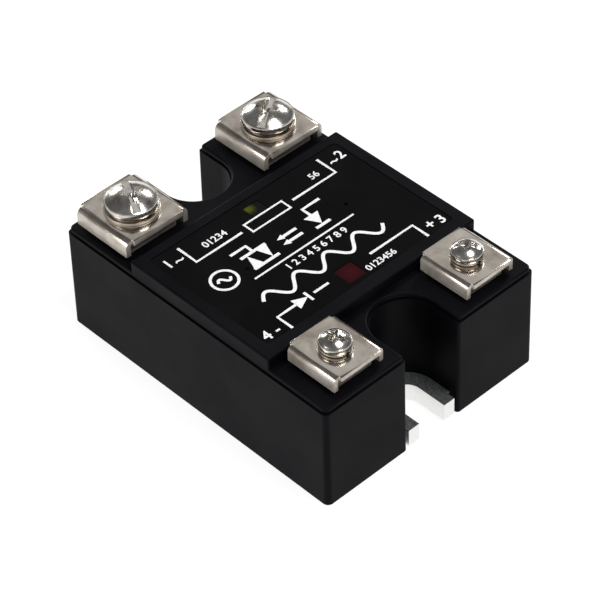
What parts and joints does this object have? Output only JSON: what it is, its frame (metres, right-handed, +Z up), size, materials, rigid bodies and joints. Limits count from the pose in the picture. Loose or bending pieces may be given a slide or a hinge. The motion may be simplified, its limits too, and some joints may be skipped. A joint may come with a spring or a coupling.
{
  "type": "solid state relay",
  "caption": "Panel-mount solid state relay: moulded case on a metal base plate, with notched ends for mounting screws and screw-clamp wire terminals at each end.",
  "frame": {"origin": "centre of the mounting face, under the base plate", "axes": "+Z up out of the mounting face, +X along the length to the input end, +Y from terminal 1 to terminal 2"},
  "size_m": [0.0588, 0.045, 0.027],
  "materials": {
    "case_plastic": "moulded glass-filled thermoplastic, satin",
    "plate_aluminium": "blanked sheet, tumbled",
    "label_film": "printed gloss film",
    "load_window_plastic": "tinted clear",
    "input_window_plastic": "tinted clear",
    "alumina": "fired ceramic",
    "copper": "rolled copper",
    "silicon": "polished",
    "tinned_wire": "tinned",
    "epoxy_resin": "cast",
    "board_laminate": "glass epoxy with solder mask",
    "black_epoxy": "moulded",
    "capacitor_case": "moulded",
    "resistor_coat": "lacquered",
    "led_yellow": "tinted epoxy",
    "led_red": "tinted epoxy",
    "nickel_brass": "nickel plated brass",
    "nickel_steel": "nickel plated, stamped",
    "screw_steel": "bright nickel plated"
  },
  "bodies": {
    "case": {"housing": "case_plastic", "base_plate": "plate_aluminium", "label": "label_film", "load_window": "load_window_plastic", "input_window": "input_window_plastic", "ceramic_substrate": "alumina", "copper_pads": "copper", "thyristor_chip_1": "silicon", "thyristor_chip_2": "silicon", "cathode_clip_1": "copper", "cathode_clip_2": "copper", "gate_pins": "tinned_wire", "potting_resin": "epoxy_resin", "circuit_board": "board_laminate", "optocoupler": "black_epoxy", "snubber_capacitor": "capacitor_case", "snubber_resistor": "resistor_coat", "small_resistors": "resistor_coat", "input_diode": "black_epoxy", "transistor": "black_epoxy", "load_led": "led_yellow", "input_led": "led_red", "load_busbar_1": "copper", "load_busbar_2": "copper", "input_lead_3": "copper", "input_lead_4": "copper", "load_terminal_1": "nickel_brass", "load_terminal_2": "nickel_brass", "input_terminal_3": "nickel_brass", "input_terminal_4": "nickel_brass"},
    "clamp_1": {"load_clamp_1": "nickel_steel", "flat_washer_1": "nickel_steel", "lock_washer_1": "nickel_steel"},
    "screw_1": {"load_screw_1": "screw_steel"},
    "clamp_2": {"load_clamp_2": "nickel_steel", "flat_washer_2": "nickel_steel", "lock_washer_2": "nickel_steel"},
    "screw_2": {"load_screw_2": "screw_steel"},
    "clamp_3": {"input_clamp_3": "nickel_steel", "lock_washer_3": "nickel_steel"},
    "screw_3": {"input_screw_3": "screw_steel"},
    "clamp_4": {"input_clamp_4": "nickel_steel", "lock_washer_4": "nickel_steel"},
    "screw_4": {"input_screw_4": "screw_steel"}
  },
  "joints": [
    {"name": "clamp_1_lift", "type": "slide", "parent": "case", "child": "clamp_1", "axis": [0, 0, 1], "range_m": [0, 0.0035]},
    {"name": "screw_1_turn", "type": "hinge", "parent": "clamp_1", "child": "screw_1", "pos_m": [-0.022, -0.0146, 0.024], "axis": [0, 0, 1], "range_deg": [0, 1800]},
    {"name": "clamp_2_lift", "type": "slide", "parent": "case", "child": "clamp_2", "axis": [0, 0, 1], "range_m": [0, 0.0035]},
    {"name": "screw_2_turn", "type": "hinge", "parent": "clamp_2", "child": "screw_2", "pos_m": [-0.022, 0.0146, 0.024], "axis": [0, 0, 1], "range_deg": [0, 1800]},
    {"name": "clamp_3_lift", "type": "slide", "parent": "case", "child": "clamp_3", "axis": [0, 0, 1], "range_m": [0, 0.0025]},
    {"name": "screw_3_turn", "type": "hinge", "parent": "clamp_3", "child": "screw_3", "pos_m": [0.0228, 0.014, 0.024], "axis": [0, 0, 1], "range_deg": [0, 1800]},
    {"name": "clamp_4_lift", "type": "slide", "parent": "case", "child": "clamp_4", "axis": [0, 0, 1], "range_m": [0, 0.0025]},
    {"name": "screw_4_turn", "type": "hinge", "parent": "clamp_4", "child": "screw_4", "pos_m": [0.0228, -0.014, 0.024], "axis": [0, 0, 1], "range_deg": [0, 1800]}
  ],
  "couplings": [
    {"joint": "screw_1_turn", "follows": "clamp_1_lift", "rad_per_m": 8975.9},
    {"joint": "screw_2_turn", "follows": "clamp_2_lift", "rad_per_m": 8975.9},
    {"joint": "screw_3_turn", "follows": "clamp_3_lift", "rad_per_m": 12566},
    {"joint": "screw_4_turn", "follows": "clamp_4_lift", "rad_per_m": 12566}
  ]
}
